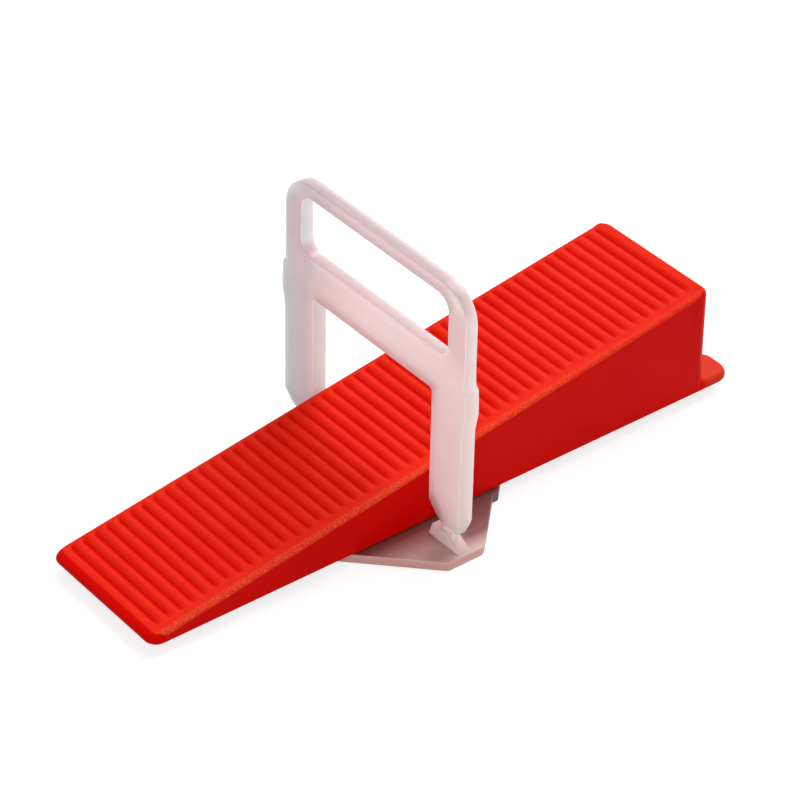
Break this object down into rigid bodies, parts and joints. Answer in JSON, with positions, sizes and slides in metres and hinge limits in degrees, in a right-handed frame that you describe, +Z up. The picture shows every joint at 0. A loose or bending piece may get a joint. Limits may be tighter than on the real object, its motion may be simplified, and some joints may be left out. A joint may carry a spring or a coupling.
{
  "type": "tile levelling clip with wedge",
  "caption": "Break-off tile levelling clip with a flat base plate, a slim frame and a handle loop, and a long ribbed wedge pushed through the frame's window.",
  "frame": {"origin": "middle of the base plate's underside", "axes": "+Z up, +X along the wedge from its tip to its thick end, +Y across the frame towards its far leg"},
  "size_m": [0.0991, 0.0388, 0.0419],
  "materials": {
    "milky_plastic": "satin, milky and slightly see-through",
    "red_plastic": "satin, with a fine grain on the ramp's smooth margin"
  },
  "bodies": {
    "clip": {"levelling_clip": "milky_plastic"},
    "wedge": {"wedge": "red_plastic"}
  },
  "joints": [
    {"name": "wedge_slide", "type": "slide", "parent": "clip", "child": "wedge", "axis": [1, 0, 0], "range_m": [-0.046, 0.041]}
  ]
}
